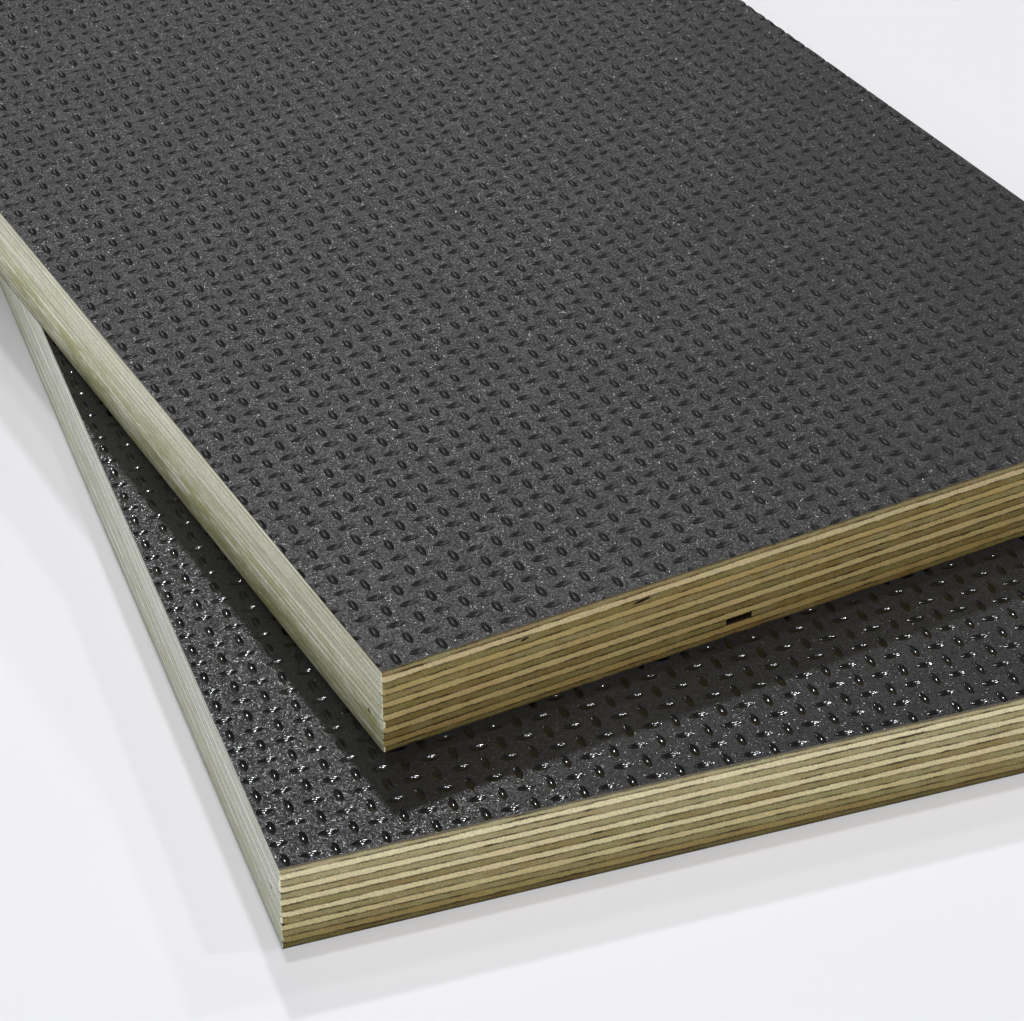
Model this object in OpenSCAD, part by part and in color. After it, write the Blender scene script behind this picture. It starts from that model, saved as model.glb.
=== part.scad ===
// Two panels of film-faced birch plywood, the upper one laid loose and a little turned on the lower.
// A panel is a cross-banded laminate: veneers with a smooth film on the back and a tread film on top.
// The prints that a wire mesh left in the tread are fine relief: its film is a plate of full thickness.
// Millimetres, +Z up. The origin is the centre of the lower panel's underside.

/* [Panel] */
// Width of a panel, along X on the lower one
panel_width = 200; // [140:1:600]
// Length of a panel, along Y on the lower one and along the face grain
panel_length = 300; // [200:1:1200]

/* [Layup] */
// Number of veneers in a panel
veneer_count = 13; // [7:2:21]
// Thickness of the back and face veneers, which are sanded thinner than the rest
face_veneer = 1.1; // [0.5:0.05:1.5]
// Thickness of each veneer between them
core_veneer = 1.43; // [1:0.01:3]
// Thickness of the smooth film on the back
back_film_thickness = 0.1; // [0.1:0.05:0.6]
// Thickness of the film that carries the tread, between the prints of the mesh
tread_film_thickness = 0.4; // [0.2:0.05:0.8]

/* [Upper panel] */
// Turn of the upper panel, anticlockwise from above
upper_turn = 9.1; // [0:0.1:15]
// Distance of its near corner from the lower panel's left side
upper_inset_x = 26; // [0:0.1:40]
// Distance of that corner from the lower panel's front side
upper_inset_y = 23.3; // [0:0.1:40]

/* [Open joint] */
// Veneer of the upper panel that has an open joint, counted up from the back film
open_veneer = 3; // [3:2:5]
// Start of the joint's mouth on the front side, from the near corner
joint_start = 71.5; // [10:0.5:110]
// Width of the mouth
joint_width = 5.5; // [1:0.1:8]
// Depth over which the joint closes to nothing
joint_depth = 80; // [20:1:150]

/* [Hidden] */
PANELS = ["lower", "upper"];
VENEERS = [1:veneer_count];

function is_face(index) = index == 1 || index == veneer_count;
function veneer_thickness(index) = is_face(index) ? face_veneer : core_veneer;
// Heights are measured from the underside of the panel that the layer is in
function veneer_base(index) =
    back_film_thickness + (index > 1 ? face_veneer + (index - 2) * core_veneer : 0);
tread_base = veneer_base(veneer_count) + face_veneer;
panel_height = tread_base + tread_film_thickness;

function back_film_name(panel) = str(panel, "_back_film");
function veneer_name(panel, index) = str(panel, "_veneer_", index < 10 ? "0" : "", index);
function tread_film_name(panel) = str(panel, "_tread_film");

// Sets a panel, drawn with its near corner at the origin, in its place in the stack
module in_stack(panel) {
    near_corner = [-panel_width / 2, -panel_length / 2, 0];
    if (panel == "lower")
        translate(near_corner) children();
    else
        translate(near_corner + [upper_inset_x, upper_inset_y, panel_height])
            rotate(upper_turn) children();
}

module layer(base, thickness) {
    translate([0, 0, base]) cube([panel_width, panel_length, thickness]);
}

// The wedge left where two strips of one veneer part towards the front side
module open_joint(index) {
    overcut = 1;
    middle = joint_start + joint_width / 2;
    end = joint_start + joint_width;
    translate([0, 0, veneer_base(index) - overcut])
        linear_extrude(veneer_thickness(index) + 2 * overcut)
            polygon([
                [joint_start, -overcut], [joint_start, 0],
                [middle, joint_depth],
                [end, 0], [end, -overcut]
            ]);
}

// Odd veneers have their grain along the panel, even ones across it
module veneer(panel, index) {
    along = index % 2 == 1;
    color(along ? "#a89a68" : "#d3c596")
        in_stack(panel)
            difference() {
                layer(veneer_base(index), veneer_thickness(index));
                if (panel == "upper" && index == open_veneer) open_joint(index);
            }
}

module back_film(panel) {
    color("#2b2826")
        in_stack(panel)
            layer(0, back_film_thickness);
}

module tread_film(panel) {
    color("#3f3f40")
        in_stack(panel)
            layer(tread_base, tread_film_thickness);
}

for (panel = PANELS) {
    back_film(panel);
    for (index = VENEERS)
        veneer(panel, index);
    tread_film(panel);
}
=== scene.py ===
# Two offcuts of anti-slip birch plywood, one laid askew on the other on a white table.
import bpy
import math
import random
from mathutils import Matrix, Vector


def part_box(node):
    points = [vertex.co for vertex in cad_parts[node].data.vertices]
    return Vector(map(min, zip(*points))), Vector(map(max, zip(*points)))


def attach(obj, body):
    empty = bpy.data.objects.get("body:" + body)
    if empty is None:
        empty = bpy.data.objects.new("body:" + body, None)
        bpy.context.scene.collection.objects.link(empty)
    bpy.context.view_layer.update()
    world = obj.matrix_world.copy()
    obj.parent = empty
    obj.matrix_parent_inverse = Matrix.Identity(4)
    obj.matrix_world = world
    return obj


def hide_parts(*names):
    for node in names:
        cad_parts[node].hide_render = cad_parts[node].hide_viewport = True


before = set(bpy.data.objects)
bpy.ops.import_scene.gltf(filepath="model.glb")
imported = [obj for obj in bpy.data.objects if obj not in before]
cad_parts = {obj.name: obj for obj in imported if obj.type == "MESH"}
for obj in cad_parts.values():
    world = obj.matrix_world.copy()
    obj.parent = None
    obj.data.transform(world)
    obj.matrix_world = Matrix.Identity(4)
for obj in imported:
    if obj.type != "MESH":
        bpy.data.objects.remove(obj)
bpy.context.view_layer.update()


# Back films.
# The smooth phenolic sheet hot-pressed on the underside of each panel. It is near black, a
# little patchy from the press, and shows only as a thin dark line along the sawn sides.
MM = 0.001


def put(tree, kind, inputs=None, **settings):
    """Adds a node with its settings and fills its inputs with values or with other sockets."""
    made = tree.nodes.new(kind)
    for key, value in settings.items():
        setattr(made, key, value)
    for key, value in (inputs or {}).items():
        if isinstance(value, bpy.types.NodeSocket):
            tree.links.new(value, made.inputs[key])
        else:
            made.inputs[key].default_value = value
    return made


def sum_of(tree, operation, *values):
    """One Math node on sockets or numbers."""
    inputs = dict(enumerate(values))
    return put(tree, "ShaderNodeMath", inputs, operation=operation).outputs[0]


def spread(tree, value, low, high, start=0.0, end=1.0):
    """Moves a value from low..high to start..end, held at both ends."""
    inputs = {0: value, 1: low, 2: high, 3: start, 4: end}
    return put(tree, "ShaderNodeMapRange", inputs, clamp=True).outputs[0]


def tint(tree, amount, first, second, blend="MIX"):
    """Mixes two colours by an amount."""
    inputs = {0: amount, 6: first, 7: second}
    made = put(tree, "ShaderNodeMix", inputs, data_type="RGBA", blend_type=blend)
    return made.outputs[2]


def rgb(red, green, blue):
    """A colour as read off a colour chart, in 0 to 255, made linear for the shader."""
    steps = [c / 255 for c in (red, green, blue)]
    return (*[s / 12.92 if s <= 0.04045 else ((s + 0.055) / 1.055) ** 2.4 for s in steps], 1.0)


def speckle(tree, place, scale, detail=2.0, rough=0.5):
    """Plain noise on a place, as a value round one half."""
    inputs = {"Vector": place, "Scale": scale, "Detail": detail, "Roughness": rough}
    return put(tree, "ShaderNodeTexNoise", inputs).outputs[0]


def new_finish(name):
    """An empty material with its shader, ready to be dressed."""
    material = bpy.data.materials.new(name)
    material.use_nodes = True
    tree = material.node_tree
    return material, tree, tree.nodes["Principled BSDF"]


def panel_place(panel):
    """Near corner, turn about Z, width and length of a panel, from its back film's outline."""
    points = [v.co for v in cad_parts[panel + "_back_film"].data.vertices]
    near = min(points, key=lambda p: (round(p.y, 5), p.x)).copy()
    right = max(points, key=lambda p: (round(p.x, 5), -p.y)).copy()
    near.z = right.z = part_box(panel + "_back_film")[0].z
    length = max((p - near).cross((right - near).normalized()).length for p in points)
    turn = math.atan2(right.y - near.y, right.x - near.x)
    return near, turn, (right - near).length, length


def on_panel(tree, panel):
    """The place on a panel in millimetres: x along the short side, y along the long side, z up."""
    near, turn, _, _ = panel_place(panel)
    source = put(tree, "ShaderNodeTexCoord").outputs["Object"]
    inputs = {"Vector": source, "Location": near, "Rotation": (0, 0, turn), "Scale": (MM, MM, MM)}
    return put(tree, "ShaderNodeMapping", inputs, vector_type="TEXTURE").outputs[0]


PANELS = ("lower", "upper")

for panel in PANELS:
    finish, tree, shader = new_finish(panel + "_back_film")
    place = on_panel(tree, panel)
    patches = spread(tree, speckle(tree, place, 0.08, 4.0), 0.3, 0.7)
    tree.links.new(tint(tree, patches, rgb(38, 35, 32), rgb(52, 47, 42)), shader.inputs["Base Color"])
    tree.links.new(spread(tree, patches, 0, 1, 0.42, 0.6), shader.inputs["Roughness"])
    grain = speckle(tree, place, 2.5, 3.0)
    bump = put(tree, "ShaderNodeBump", {"Strength": 0.25, "Distance": 0.04 * MM, "Height": grain})
    tree.links.new(bump.outputs[0], shader.inputs["Normal"])
    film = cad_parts[panel + "_back_film"]
    film.data.materials.clear()
    film.data.materials.append(finish)


# Veneers.
# Thirteen rotary-peeled birch veneers in each panel, cross-banded, bonded with dark phenolic glue
# and sawn through. The saw left each a hair short of the next, with splintered corners.
VENEERS = 13
SAW_STRIDE = 5.0
SAW_STEP = 0.05
SAW_WAVER = 0.04
CHIP = (0.2, 1.0)
EDGE = 0.01
SQUARE_COSINE = 0.2


def sawn_outline(panel, number):
    """A veneer's outline in millimetres on its panel, anticlockwise from the near corner."""
    chance = random.Random(100 * PANELS.index(panel) + number)
    near, turn, width, length = panel_place(panel)
    width, length = width / MM, length / MM
    flat = Matrix.Rotation(-turn, 3, "Z")
    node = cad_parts[f"{panel}_veneer_{number:02d}"]
    points = [flat @ (v.co - near) / MM for v in node.data.vertices]
    inner = [p for p in points if EDGE < p.x < width - EDGE]
    stops = [(0, 0)]
    if inner:
        tip = max(inner, key=lambda p: p.y)
        mouth = [p.x for p in inner if p.y < EDGE]
        stops += [(min(mouth), 0), (tip.x, tip.y), (max(mouth), 0)]
    stops += [(width, 0), (width, length), (0, length)]
    stops = [Vector(stop) for stop in stops]
    outline = []
    for here, there, before in zip(stops, stops[1:] + stops[:1], stops[-1:] + stops[:-1]):
        ahead = (there - here).normalized()
        back = (before - here).normalized()
        if abs(ahead.dot(back)) < SQUARE_COSINE:
            lost = [chance.uniform(*CHIP), chance.uniform(*CHIP)]
            outline.append(here + back * lost[0])
            outline.append(here + (back + ahead) * min(lost) * chance.uniform(0.25, 0.45))
            outline.append(here + ahead * lost[1])
        else:
            outline.append(here)
        inward = Vector((-ahead.y, ahead.x))
        count = int((there - here).length / SAW_STRIDE)
        for step in range(1, count):
            outline.append(here.lerp(there, step / count) + inward * chance.uniform(0, SAW_WAVER))
    step = chance.uniform(0, SAW_STEP)
    return [(min(max(p.x, step), width - step), min(max(p.y, step), length - step)) for p in outline]


def sawn_veneer(panel, number):
    """The sheet of one veneer, between the heights of its node."""
    name = f"{panel}_veneer_{number:02d}"
    near, turn, _, _ = panel_place(panel)
    settle = Matrix.Translation((near.x, near.y, 0)) @ Matrix.Rotation(turn, 4, "Z")
    outline = sawn_outline(panel, number)
    points = []
    for height in (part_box(name)[0].z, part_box(name)[1].z):
        points += [settle @ Vector((x * MM, y * MM, height)) for x, y in outline]
    count = len(outline)
    around = range(count)
    faces = [tuple(reversed(around)), tuple(k + count for k in around)]
    faces += [(k, (k + 1) % count, (k + 1) % count + count, k + count) for k in around]
    mesh = bpy.data.meshes.new(name + "_sawn")
    mesh.from_pydata(points, [], faces)
    sheet = bpy.data.objects.new(name + "_sawn", mesh)
    bpy.context.scene.collection.objects.link(sheet)
    return sheet


# Short sides: veneers that run across are yellow, and those that run along show olive end grain
YELLOW = rgb(205, 193, 132)
YELLOW_PEACH = rgb(200, 173, 114)
YELLOW_PALE = rgb(236, 229, 200)
OLIVE = rgb(143, 139, 81)
OLIVE_BROWN = rgb(144, 116, 61)
OLIVE_GREY = rgb(156, 152, 113)
GLUE = rgb(44, 30, 8)
# The dark of the small gaps is painted shade
GAP_SHADE = rgb(26, 15, 6)
# Long sides, pale and grey, partly their own tone and partly a painted grazing sheen, and the torn corners
SILVER_SHEEN = rgb(250, 251, 246)
SILVER_SHEEN_DULL = rgb(228, 229, 220)
SILVER_GREEN = rgb(180, 179, 134)
SILVER_GREY = rgb(174, 176, 164)
SPLINTER = rgb(226, 220, 196)
# How much each veneer is darkened and bleached, from the back up, and what a full darkening leaves; the
# darkening is partly the veneers' own stain and partly painted shade, heaviest on the bottom veneers
STAIN_AND_SHADE = (0.42, 0.385, 0.29, 1.0)
STAIN_AND_SHADE_SHARE = {
    "lower": (1.0, 0.95, 0.4, 0.33, 0.28, 0.13, 0.32, 0.12, 0.16, 0.04, 0.06, 0.0, 0.0),
    "upper": (0.7, 0.7, 0.44, 0.36, 0.4, 0.15, 0.26, 0.25, 0.07, 0.22, 0.12, 0.0, 0.0),
}
PALE = {
    "lower": (0.0, 0.1, 0.1, 0.4, 0.15, 0.7, 0.1, 0.75, 0.25, 0.85, 0.3, 1.0, 0.4),
    "upper": (0.0, 0.0, 0.0, 0.1, 0.0, 0.2, 0.0, 0.1, 0.1, 0.0, 0.0, 0.7, 0.2),
}
# Painted shade at the foot of the long sides, with its share and its height, and their green weathering
PAINTED_FOOT_SHADE = (0.36, 0.36, 0.31, 1.0)
FOOT_SHADE_REACH = {"lower": (0.25, 13.0), "upper": (1.0, 7.0)}
GREENED = {"lower": 0.45, "upper": 1.0}
# Tone of each panel's wood on its short sides and on its long ones; on the upper panel's short sides it is
# partly painted shade
CAST_AND_SHADE = {"lower": (1.0, 1.0, 0.98, 1.0), "upper": (1.0, 0.93, 0.87, 1.0)}
SIDE_CAST = {"lower": (1.0, 1.0, 1.0, 1.0), "upper": (1.0, 0.99, 0.87, 1.0)}
# Small gaps, painted as dark shade: veneer, side, place along the side, height, half width and half height
FLAWS = {
    "lower": ((7, "long", 6.0, 9.2, 0.5, 0.3),),
    "upper": ((11, "short", 52.8, 15.0, 1.9, 0.33), (11, "short", 28.5, 15.0, 0.9, 0.25),
              (3, "short", 30.0, 4.15, 0.6, 0.3), (5, "long", 5.5, 5.8, 0.6, 0.35)),
}


def veneer_finish(panel, number):
    """Wood of one veneer, with the glue line at its two faces."""
    name = f"{panel}_veneer_{number:02d}"
    near, turn, width, _ = panel_place(panel)
    low, high = ((corner.z - near.z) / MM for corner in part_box(name))
    finish, tree, shader = new_finish(name)
    place = put(tree, "ShaderNodeSeparateXYZ", {0: on_panel(tree, panel)})
    x, y, z = place.outputs
    source = put(tree, "ShaderNodeTexCoord").outputs["Normal"]

    def calc(operation, *values):
        return sum_of(tree, operation, *values)

    def faces(way):
        dot = put(tree, "ShaderNodeVectorMath", {0: source, 1: way}, operation="DOT_PRODUCT")
        return calc("ABSOLUTE", dot.outputs["Value"])

    short_side = calc("GREATER_THAN", faces((-math.sin(turn), math.cos(turn), 0)), 0.85)
    long_side = calc("GREATER_THAN", faces((math.cos(turn), math.sin(turn), 0)), 0.85)
    flat = calc("GREATER_THAN", faces((0, 0, 1)), 0.7)
    run = put(tree, "ShaderNodeMix", {0: short_side, 2: y, 3: x}).outputs[0]
    seed = number * 7.3 + PANELS.index(panel) * 131.0

    def streaks(along, up, detail=3.0, rough=0.55, shift=0.0):
        inputs = {0: calc("MULTIPLY", run, along), 1: calc("MULTIPLY", z, up), 2: seed + shift}
        return speckle(tree, put(tree, "ShaderNodeCombineXYZ", inputs).outputs[0], 1.0, detail, rough)

    patches = spread(tree, streaks(0.07, 0.2), 0.32, 0.68)
    blotches = spread(tree, streaks(0.3, 0.5, 3.0, 0.6, 40.0), 0.35, 0.65)
    fibres = streaks(0.12, 5.0, 5.0, 0.65)
    grit = streaks(2.4, 2.4, 3.0, 0.7, 80.0)
    pores = streaks(4.0, 4.0, 2.0, 0.5)
    # Short sides, with the glue that crept out at both faces
    if number % 2:
        wood = tint(tree, patches, OLIVE, OLIVE_BROWN)
        wood = tint(tree, calc("MULTIPLY", blotches, 0.55), wood, OLIVE_GREY)
        wood = tint(tree, spread(tree, pores, 0.5, 0.75, 0, 0.5), wood, GLUE)
    else:
        wood = tint(tree, patches, YELLOW, YELLOW_PEACH)
        wood = tint(tree, calc("MULTIPLY", blotches, 0.3), wood, OLIVE_GREY)
        wood = tint(tree, spread(tree, fibres, 0.5, 0.8, 0, 0.3), wood, OLIVE_BROWN)
    wood = tint(tree, 0.55 * PALE[panel][number - 1], wood, YELLOW_PALE)
    # Partly stain, partly painted shade, heaviest on the bottom veneers
    wood = tint(tree, STAIN_AND_SHADE_SHARE[panel][number - 1], wood, STAIN_AND_SHADE, "MULTIPLY")
    # Partly the panel's own tone, partly painted shade on the upper panel
    wood = tint(tree, 1.0, wood, CAST_AND_SHADE[panel], "MULTIPLY")
    edge = calc("MINIMUM", calc("SUBTRACT", z, low), calc("SUBTRACT", high, z))
    wander = calc("SUBTRACT", streaks(0.22, 0.3, 4.0, 0.65, 120.0), 0.5)
    ragged = calc("SUBTRACT", grit, 0.5)
    wander = calc("ADD", calc("MULTIPLY", wander, 0.7), calc("MULTIPLY", ragged, 0.35))
    bond = spread(tree, calc("ADD", edge, wander), 0.04, 0.3, 1.0, 0.0)
    thin = spread(tree, streaks(0.15, 0.1, 3.0, 0.6, 160.0), 0.3, 0.6, 0.25, 1.0)
    bond = calc("MULTIPLY", bond, thin)
    wood = tint(tree, bond, wood, GLUE)

    # Long sides, streaked along the panel, pale partly from a painted sheen, and with painted shade at the
    # foot
    lines = streaks(0.012, 4.2, 5.0, 0.75, 200.0)
    ticks = streaks(1.6, 0.25, 3.0, 0.6, 240.0)
    # The long sides' pale colour is partly a painted sheen
    sheen_silver = SILVER_SHEEN_DULL if number % 2 and panel == "lower" else SILVER_SHEEN
    side = tint(tree, spread(tree, lines, 0.42, 0.6), sheen_silver, SILVER_GREY)
    side = tint(tree, 1.0, side, SIDE_CAST[panel], "MULTIPLY")
    weathered = streaks(0.07, 0.2, 4.0, 0.7, 280.0)
    greened = spread(tree, z, 6.0, 12.0, GREENED[panel], 0.2 * GREENED[panel])
    greened = calc("MULTIPLY", greened, spread(tree, weathered, 0.42, 0.58))
    side = tint(tree, greened, side, SILVER_GREEN)
    side = tint(tree, spread(tree, ticks, 0.55, 0.8, 0, 0.35), side, SILVER_GREY)
    side = tint(tree, calc("MULTIPLY", bond, 0.6), side, OLIVE)
    shade, shade_top = FOOT_SHADE_REACH[panel]
    foot = calc("ADD", z, spread(tree, patches, 0, 1, -1.0, 1.0))
    # Painted shade: the long sides darken towards the foot
    side = tint(tree, spread(tree, foot, 0.0, shade_top, shade, 0.0), side, PAINTED_FOOT_SHADE, "MULTIPLY")
    colour = tint(tree, long_side, SPLINTER, side)
    colour = tint(tree, short_side, colour, wood)
    # Small gaps painted as dark shade, then the faces that only show inside the open joint, painted in
    # shade
    for _, side_name, at, up, wide, tall in [flaw for flaw in FLAWS[panel] if flaw[0] == number]:
        on_short = side_name == "short"
        near_side = calc("LESS_THAN", y if on_short else x, 2.0)
        near_side = calc("MULTIPLY", near_side, short_side if on_short else long_side)
        along = calc("DIVIDE", calc("SUBTRACT", run, at), wide)
        rise = calc("DIVIDE", calc("SUBTRACT", z, up), tall)
        rise = calc("SUBTRACT", rise, calc("MULTIPLY", along, 0.6))
        far = calc("ADD", calc("MULTIPLY", along, along), calc("MULTIPLY", rise, rise))
        far = calc("ADD", far, spread(tree, pores, 0.2, 0.8, -0.25, 0.25))
        gap_shade = calc("MULTIPLY", spread(tree, far, 0.8, 1.05, 1.0, 0.0), near_side)
        colour = tint(tree, gap_shade, colour, GAP_SHADE)
    inside = calc("MULTIPLY", calc("GREATER_THAN", x, 0.7), calc("LESS_THAN", x, width / MM - 0.7))
    hidden_in_shade = calc("MAXIMUM", flat, calc("MULTIPLY", inside, calc("SUBTRACT", 1.0, short_side)))
    # Painted shade on the faces inside the open joint and between the veneers
    colour = tint(tree, hidden_in_shade, colour, tint(tree, pores, rgb(20, 13, 6), rgb(48, 33, 15)))
    worn = spread(tree, grit, 0.25, 0.75, 0.72, 1.22)
    worn = put(tree, "ShaderNodeCombineXYZ", {0: worn, 1: worn, 2: worn}).outputs[0]
    colour = tint(tree, 1.0, colour, worn, "MULTIPLY")
    tree.links.new(colour, shader.inputs["Base Color"])
    tree.links.new(spread(tree, fibres, 0.3, 0.7, 0.55, 0.75), shader.inputs["Roughness"])
    shader.inputs["Specular IOR Level"].default_value = 0.25
    height = calc("ADD", fibres, calc("ADD", calc("MULTIPLY", bond, -0.8), grit))
    bump = put(tree, "ShaderNodeBump", {"Strength": 0.4, "Distance": 0.06 * MM, "Height": height})
    tree.links.new(bump.outputs[0], shader.inputs["Normal"])
    return finish


for panel in PANELS:
    for number in range(1, VENEERS + 1):
        veneer = sawn_veneer(panel, number)
        veneer.data.materials.append(veneer_finish(panel, number))
        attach(veneer, "root")
        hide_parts(f"{panel}_veneer_{number:02d}")


# Tread films.
# The black phenolic sheet hot-pressed on the top face under a woven wire mesh. The mesh left a
# chequer of smooth prints, each turned a quarter from the next, in a finely pebbled face.
PRINT_LENGTH = 4.15
PRINT_WIDTH = 1.7
PRINT_DEPTH = 0.35
PRINT_OVERCUT = 0.02
PRINT_OUTSIDE = 2.3
PRINT_WELD = 0.004
POLISHED = (35.0, 65.0)
SAWN_FILM_LIT = rgb(98, 90, 74)
MESH_OVERHANG = 4.0
MESH_COLUMNS = 56
MESH_ROWS = 80
# First print from the near corner and the steps to the next ones, then the finish of either surface;
# a pair is for the left edge, which handling polished over a width, and for the rest of the panel
TREADS = {
    "lower": {
        "start": (1.56, 1.69), "across": (4.515, -0.01), "along": (0.0, 4.42),
        "print_ior": 1.55, "print_tint": (0.93, 0.96, 1.0, 1.0), "print_rough": 0.13,
        "print_scuff": 0.03, "print_shade": (rgb(8, 8, 9), rgb(14, 13, 13)),
        "film_ior": 1.38, "film_tint": (0.94, 0.965, 1.0, 1.0), "film_shade_tone": 0.65,
        "film_rough": (0.36, 0.5), "spark_share": (0.38, 0.2), "spark_rough": 0.2,
    },
    "upper": {
        "start": (3.69, 1.87), "across": (4.57, 0.13), "along": (0.10, 4.40),
        "print_ior": 1.25, "print_tint": (1.0, 1.0, 1.0, 1.0), "print_rough": 0.34,
        "print_scuff": 0.15, "print_shade": (rgb(19, 19, 20), rgb(26, 25, 25)),
        "film_ior": 1.44, "film_tint": (1.0, 1.0, 1.0, 1.0), "film_shade_tone": 1.0,
        "film_rough": (0.42, 0.42), "spark_share": (0.2, 0.2), "spark_rough": 0.24,
    },
}


def tread_tree():
    """Nodes that press a chequer of wire prints into a plain film, cut to the panel."""
    tree = bpy.data.node_groups.new("tread_prints", "GeometryNodeTree")
    labels = {
        "Float": ("Panel Width", "Panel Length", "Film", "Print Length", "Print Width", "Print Depth",
                  "Overcut", "Panel Turn"),
        "Int": ("Columns", "Rows", "Seed"),
        "Vector": ("First Print", "Step Across", "Step Along", "Panel Corner"),
        "Material": ("Film Finish", "Print Finish"),
    }
    for kind, names in labels.items():
        for label in names:
            tree.interface.new_socket(name=label, in_out="INPUT", socket_type="NodeSocket" + kind)
    tree.interface.new_socket(name="Geometry", in_out="OUTPUT", socket_type="NodeSocketGeometry")
    given = tree.nodes.new("NodeGroupInput").outputs
    geo = "GeometryNode"

    def calc(operation, *values):
        return sum_of(tree, operation, *values)

    def xyz(a, b, c):
        return put(tree, "ShaderNodeCombineXYZ", {0: a, 1: b, 2: c}).outputs[0]

    def half(value):
        return calc("MULTIPLY", value, 0.5)

    def parts(vector):
        return put(tree, "ShaderNodeSeparateXYZ", {0: vector}).outputs

    def here():
        return put(tree, geo + "InputPosition").outputs[0]

    def mesh_of(kind, inputs, **settings):
        return put(tree, geo + kind, inputs, **settings).outputs[0]

    size = xyz(given["Panel Width"], given["Panel Length"], given["Film"])
    plate = mesh_of("MeshCube", {"Size": size})
    middle = xyz(half(given["Panel Width"]), half(given["Panel Length"]), half(given["Film"]))
    plate = mesh_of("Transform", {"Geometry": plate, "Translation": middle})
    plate = mesh_of("SetMaterial", {"Geometry": plate, "Material": given["Film Finish"]})

    # One print: a piece of the bent wire, round in section, a little proud of the film at its rim
    grid = mesh_of("MeshGrid", {"Size X": 2.0, "Size Y": 2.0, "Vertices X": 6, "Vertices Y": 5})
    spot = parts(here())
    along = spot[0]
    across = calc("SINE", calc("MULTIPLY", spot[1], math.pi / 2))
    deep = calc("ADD", given["Print Depth"], given["Overcut"])
    ends = calc("POWER", calc("ABSOLUTE", along), 1.5)
    ends = calc("MAXIMUM", calc("SUBTRACT", 1.0, ends), 0.0)
    bed = calc("MULTIPLY", deep, ends)
    flank = half(given["Print Width"])
    wire = calc("ADD", calc("MULTIPLY", flank, flank), calc("MULTIPLY", deep, deep))
    wire = calc("DIVIDE", wire, calc("MULTIPLY", deep, 2.0))
    chord = calc("MULTIPLY", calc("MULTIPLY", wire, 2.0), bed)
    chord = calc("SUBTRACT", chord, calc("MULTIPLY", bed, bed))
    aside = calc("MULTIPLY", across, calc("SQRT", calc("MAXIMUM", chord, 0.0)))
    round_up = calc("SUBTRACT", calc("MULTIPLY", wire, wire), calc("MULTIPLY", aside, aside))
    rise = calc("SUBTRACT", wire, calc("SQRT", round_up))
    forth = calc("MULTIPLY", along, half(given["Print Length"]))
    place = xyz(forth, aside, calc("SUBTRACT", rise, bed))
    belly = mesh_of("SetPosition", {"Geometry": grid, "Position": place})
    belly = mesh_of("MergeByDistance", {"Geometry": belly, "Distance": PRINT_WELD * MM})
    neighbours = put(tree, geo + "InputMeshEdgeNeighbors").outputs[0]
    one_sided = {2: neighbours, 3: 1}
    rim = put(tree, "FunctionNodeCompare", one_sided, data_type="INT", operation="EQUAL").outputs[0]
    loop = mesh_of("MeshToCurve", {"Mesh": belly, "Selection": rim})
    lid = mesh_of("FillCurve", {"Curve": loop}, mode="NGONS")
    belly = mesh_of("FlipFaces", {"Mesh": belly})
    joined = put(tree, geo + "JoinGeometry")
    tree.links.new(belly, joined.inputs[0])
    tree.links.new(lid, joined.inputs[0])
    wire_piece = mesh_of("MergeByDistance", {"Geometry": joined.outputs[0], "Distance": PRINT_WELD * MM})
    wire_piece = mesh_of("SetMaterial", {"Geometry": wire_piece, "Material": given["Print Finish"]})

    # The mesh of wires, from a little outside one corner to a little outside the other
    def steps(number, stride):
        inputs = {0: stride, "Scale": number}
        return put(tree, "ShaderNodeVectorMath", inputs, operation="SCALE").outputs[0]

    def total(first, second):
        return put(tree, "ShaderNodeVectorMath", {0: first, 1: second}, operation="ADD").outputs[0]

    index = put(tree, geo + "InputIndex").outputs[0]
    column = calc("FLOORED_MODULO", index, given["Columns"])
    row = calc("FLOOR", calc("DIVIDE", calc("ADD", index, 0.5), given["Columns"]))
    step = total(steps(calc("SUBTRACT", column, MESH_OVERHANG), given["Step Across"]),
                 steps(calc("SUBTRACT", row, MESH_OVERHANG), given["Step Along"]))
    step = total(step, given["First Print"])
    way = calc("FLOORED_MODULO", calc("ADD", column, row), 2.0)
    count = calc("MULTIPLY", given["Columns"], given["Rows"])
    points = mesh_of("Points", {"Count": count, "Position": step})
    points = mesh_of("StoreNamedAttribute", {"Geometry": points, "Name": "way", "Value": way},
                     data_type="FLOAT", domain="POINT")
    centre = parts(here())
    outside = PRINT_OUTSIDE * MM
    gone = 0.0
    for reach, size in zip(centre[:2], (given["Panel Width"], given["Panel Length"])):
        gone = calc("MAXIMUM", gone, calc("LESS_THAN", reach, -outside))
        gone = calc("MAXIMUM", gone, calc("GREATER_THAN", reach, calc("ADD", size, outside)))
    points = mesh_of("DeleteGeometry", {"Geometry": points, "Selection": gone}, domain="POINT")
    way = put(tree, geo + "InputNamedAttribute", {"Name": "way"}, data_type="FLOAT").outputs[0]
    go_across = parts(given["Step Across"])
    go_along = parts(given["Step Along"])
    angle = put(tree, "ShaderNodeMix", {0: way, 2: calc("ARCTAN2", go_along[1], go_along[0]),
                                        3: calc("ARCTAN2", go_across[1], go_across[0])}).outputs[0]

    def chance(low, high, more):
        inputs = {2: low, 3: high, "Seed": calc("ADD", given["Seed"], more)}
        return put(tree, "FunctionNodeRandomValue", inputs, data_type="FLOAT").outputs[1]

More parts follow.
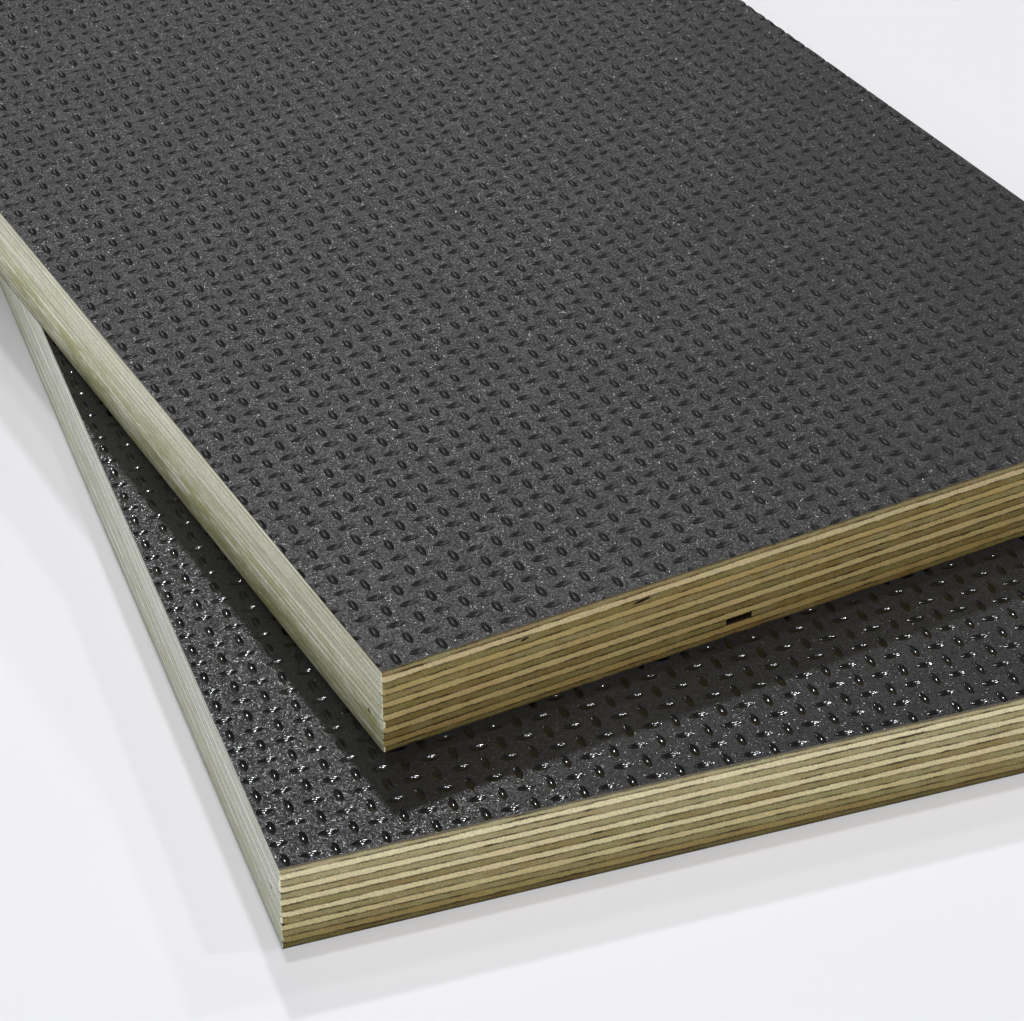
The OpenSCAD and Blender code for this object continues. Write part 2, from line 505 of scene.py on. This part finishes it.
    angle = calc("ADD", angle, chance(-0.04, 0.04, 0.0))
    scale = xyz(chance(0.96, 1.02, 1.0), chance(0.9, 1.06, 2.0), 1.0)
    inputs = {"Points": points, "Instance": wire_piece, "Rotation": xyz(0.0, 0.0, angle), "Scale": scale}
    wires = mesh_of("InstanceOnPoints", inputs)
    wires = mesh_of("RealizeInstances", {"Geometry": wires})
    lift = xyz(0.0, 0.0, calc("ADD", given["Film"], given["Overcut"]))
    wires = mesh_of("Transform", {"Geometry": wires, "Translation": lift})
    pressed = put(tree, geo + "MeshBoolean", {"Mesh 1": plate, "Mesh 2": wires},
                  operation="DIFFERENCE", solver="MANIFOLD").outputs[0]
    smooth = put(tree, geo + "MaterialSelection", {"Material": given["Print Finish"]}).outputs[0]
    pressed = mesh_of("SetShadeSmooth", {"Geometry": pressed, "Shade Smooth": smooth})
    turn = xyz(0.0, 0.0, given["Panel Turn"])
    inputs = {"Geometry": pressed, "Translation": given["Panel Corner"], "Rotation": turn}
    placed = mesh_of("Transform", inputs)
    placed = mesh_of("RealizeInstances", {"Geometry": placed})
    inputs = {"Geometry": placed, "Selection": smooth, "Material": given["Print Finish"]}
    placed = mesh_of("SetMaterial", inputs)
    tree.links.new(placed, tree.nodes.new("NodeGroupOutput").inputs[0])
    return tree


def film_finish(panel, facts):
    """Pebbled black film between the prints, of small facets, a share of which glint one by one."""
    finish, tree, shader = new_finish(panel + "_tread_film")
    place = on_panel(tree, panel)
    cells = put(tree, "ShaderNodeTexVoronoi", {"Vector": place, "Scale": 4.0}).outputs["Color"]
    gloss = put(tree, "ShaderNodeSeparateXYZ", {0: cells}).outputs[2]
    level = (0.5, 0.5, 0.5)
    facets = put(tree, "ShaderNodeVectorMath", {0: cells, 1: level}, operation="SUBTRACT").outputs[0]
    pebbles = speckle(tree, place, 1.4, 3.0, 0.6)
    slope = spread(tree, pebbles, 0.35, 0.65, 0.15, 0.5)
    facets = put(tree, "ShaderNodeVectorMath", {0: facets, "Scale": slope}, operation="SCALE").outputs[0]
    patches = spread(tree, speckle(tree, place, 0.05, 3.0), 0.3, 0.7)
    film = tint(tree, patches, rgb(36, 36, 37), rgb(44, 43, 43))
    # Painted shade: the lower panel's film is given a darker tone, for it lies in the upper panel's shade
    tone = facts["film_shade_tone"]
    film = tint(tree, 1.0, film, (tone, tone, tone, 1.0), "MULTIPLY")
    # Painted shade: the film darkens in the pebbles' hollows
    film = tint(tree, spread(tree, pebbles, 0.35, 0.65, 0.5, 0.0), film, rgb(18, 18, 18))
    facing_out = put(tree, "ShaderNodeTexCoord").outputs["Normal"]
    upright = put(tree, "ShaderNodeSeparateXYZ", {0: facing_out}).outputs[2]
    # The sawn edges' pale brown is partly the film's own edge colour and partly painted light against
    # their shade
    film = tint(tree, sum_of(tree, "LESS_THAN", upright, 0.3), film, SAWN_FILM_LIT)
    tree.links.new(film, shader.inputs["Base Color"])
    inward = put(tree, "ShaderNodeSeparateXYZ", {0: place}).outputs[0]
    sparks = spread(tree, inward, *POLISHED, *facts["spark_share"])
    matt = spread(tree, inward, *POLISHED, *facts["film_rough"])
    dull = spread(tree, gloss, sparks, sum_of(tree, "ADD", sparks, 0.05), facts["spark_rough"], matt)
    tree.links.new(dull, shader.inputs["Roughness"])
    shader.inputs["IOR"].default_value = facts["film_ior"]
    shader.inputs["Specular Tint"].default_value = facts["film_tint"]
    bump = put(tree, "ShaderNodeBump", {"Strength": 0.5, "Distance": 0.1 * MM, "Height": pebbles})
    tilted = put(tree, "ShaderNodeVectorMath", {0: bump.outputs[0], 1: facets}, operation="ADD").outputs[0]
    facing = put(tree, "ShaderNodeVectorMath", {0: tilted}, operation="NORMALIZE").outputs[0]
    tree.links.new(facing, shader.inputs["Normal"])
    return finish


def print_finish(panel, facts):
    """Smooth black film in the prints, where the wire pressed it."""
    finish, tree, shader = new_finish(panel + "_tread_print")
    place = on_panel(tree, panel)
    scuffs = speckle(tree, place, 1.6, 4.0, 0.6)
    tree.links.new(tint(tree, scuffs, *facts["print_shade"]), shader.inputs["Base Color"])
    dull = spread(tree, scuffs, 0.3, 0.7, facts["print_rough"] - 0.03, facts["print_rough"] + 0.04)
    tree.links.new(dull, shader.inputs["Roughness"])
    shader.inputs["IOR"].default_value = facts["print_ior"]
    shader.inputs["Specular Tint"].default_value = facts["print_tint"]
    inputs = {"Strength": facts["print_scuff"], "Distance": 0.03 * MM, "Height": scuffs}
    bump = put(tree, "ShaderNodeBump", inputs)
    tree.links.new(bump.outputs[0], shader.inputs["Normal"])
    return finish


prints = tread_tree()
sockets = {item.name: item.identifier for item in prints.interface.items_tree if item.in_out == "INPUT"}
for panel in PANELS:
    facts = TREADS[panel]
    near, turn, width, length = panel_place(panel)
    bottom, top = (corner.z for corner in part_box(panel + "_tread_film"))
    near.z = bottom
    values = {
        "Panel Width": width, "Panel Length": length, "Film": top - bottom,
        "Print Length": PRINT_LENGTH * MM, "Print Width": PRINT_WIDTH * MM,
        "Print Depth": PRINT_DEPTH * MM, "Overcut": PRINT_OVERCUT * MM, "Panel Turn": turn,
        "Columns": MESH_COLUMNS, "Rows": MESH_ROWS, "Seed": 4, "Panel Corner": near,
        "First Print": (*[v * MM for v in facts["start"]], 0.0),
        "Step Across": (*[v * MM for v in facts["across"]], 0.0),
        "Step Along": (*[v * MM for v in facts["along"]], 0.0),
        "Film Finish": film_finish(panel, facts),
        "Print Finish": print_finish(panel, facts),
    }
    tread = bpy.data.objects.new(panel + "_tread", bpy.data.meshes.new("empty"))
    bpy.context.scene.collection.objects.link(tread)
    nodes = tread.modifiers.new("tread", "NODES")
    nodes.node_group = prints
    for label, value in values.items():
        nodes[sockets[label]] = value
    seen = tread.evaluated_get(bpy.context.evaluated_depsgraph_get())
    made = bpy.data.meshes.new_from_object(seen)
    tread.modifiers.clear()
    tread.data = made
    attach(tread, "root")
    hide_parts(panel + "_tread_film")


# Table.
# A plain white table top under the panels, a touch cool, with the lamps' pale shadows on it.
FLOOR_SIZE = 60.0
FLOOR_DROP = 0.00005
floor_mesh = bpy.data.meshes.new("table")
reach = FLOOR_SIZE / 2
corners = [(x * reach, y * reach, -FLOOR_DROP) for x, y in ((-1, -1), (1, -1), (1, 1), (-1, 1))]
floor_mesh.from_pydata(corners, [], [(0, 1, 2, 3)])
floor = bpy.data.objects.new("table", floor_mesh)
bpy.context.scene.collection.objects.link(floor)
finish, tree, shader = new_finish("table")
source = put(tree, "ShaderNodeTexCoord").outputs["Object"]
white = tint(tree, speckle(tree, source, 9.0), rgb(219, 219, 223), rgb(216, 216, 220))
tree.links.new(white, shader.inputs["Base Color"])
shader.inputs["Roughness"].default_value = 0.6
floor_mesh.materials.append(finish)


# Light.
# Five compact lamps behind, to the right and high up, which the prints mirror, with broad fill from
# the front left and a dim room. Each has its bearing from +Y, its rise, its strength and its breadth.
LAMPS = {
    "right": (102.8, 54.2, 0.34, 3.0),
    "back": (12.0, 46.6, 0.72, 3.0),
    "back_right": (59.7, 39.9, 0.3, 3.0),
    "high_back": (5.0, 79.0, 0.7, 3.0),
    "high_right": (90.0, 80.0, 0.25, 3.0),
    "front_fill": (214.0, 48.0, 1.4, 50.0),
}
ROOM_BACK = 0.12
ROOM_FRONT = 0.55
ROOM_BEARING = 200.0


def towards(bearing, rise):
    """The direction to a lamp, from its bearing clockwise from +Y and its rise."""
    b, r = math.radians(bearing), math.radians(rise)
    return Vector((math.sin(b) * math.cos(r), math.cos(b) * math.cos(r), math.sin(r)))


for label, (bearing, rise, strength, breadth) in LAMPS.items():
    lamp = bpy.data.lights.new("lamp_" + label, "SUN")
    lamp.energy = strength
    lamp.angle = math.radians(breadth)
    held = bpy.data.objects.new("lamp_" + label, lamp)
    held.rotation_euler = towards(bearing, rise).to_track_quat("Z", "Y").to_euler()
    bpy.context.scene.collection.objects.link(held)

world = bpy.data.worlds.new("studio")
bpy.context.scene.world = world
world.use_nodes = True
tree = world.node_tree
inputs = {0: put(tree, "ShaderNodeTexCoord").outputs["Generated"], 1: towards(ROOM_BEARING, 0.0)}
front = put(tree, "ShaderNodeVectorMath", inputs, operation="DOT_PRODUCT").outputs["Value"]
room = spread(tree, front, -0.1, 0.6, ROOM_BACK, ROOM_FRONT)
tree.links.new(room, tree.nodes["Background"].inputs["Strength"])
tree.nodes["Background"].inputs["Color"].default_value = (1.0, 1.0, 1.0, 1.0)


# Camera.
# Stands over the near corner and looks down along the panels with a long lens.
EYE = (-0.19285, -0.52146, 0.35766)
AIM = (-0.02700, -0.06280, 0.01804)
ROLL = 0.38
LENS = 105.45

camera = bpy.data.cameras.new("camera")
camera.sensor_width = 36.0
camera.lens = LENS
camera.clip_start = 0.01
stand = bpy.data.objects.new("camera", camera)
look = (Vector(AIM) - Vector(EYE)).to_track_quat("-Z", "Y").to_matrix().to_4x4()
stand.matrix_world = Matrix.Translation(EYE) @ look @ Matrix.Rotation(math.radians(ROLL), 4, "Z")
bpy.context.scene.collection.objects.link(stand)
bpy.context.scene.camera = stand
bpy.context.scene.view_settings.view_transform = "Standard"
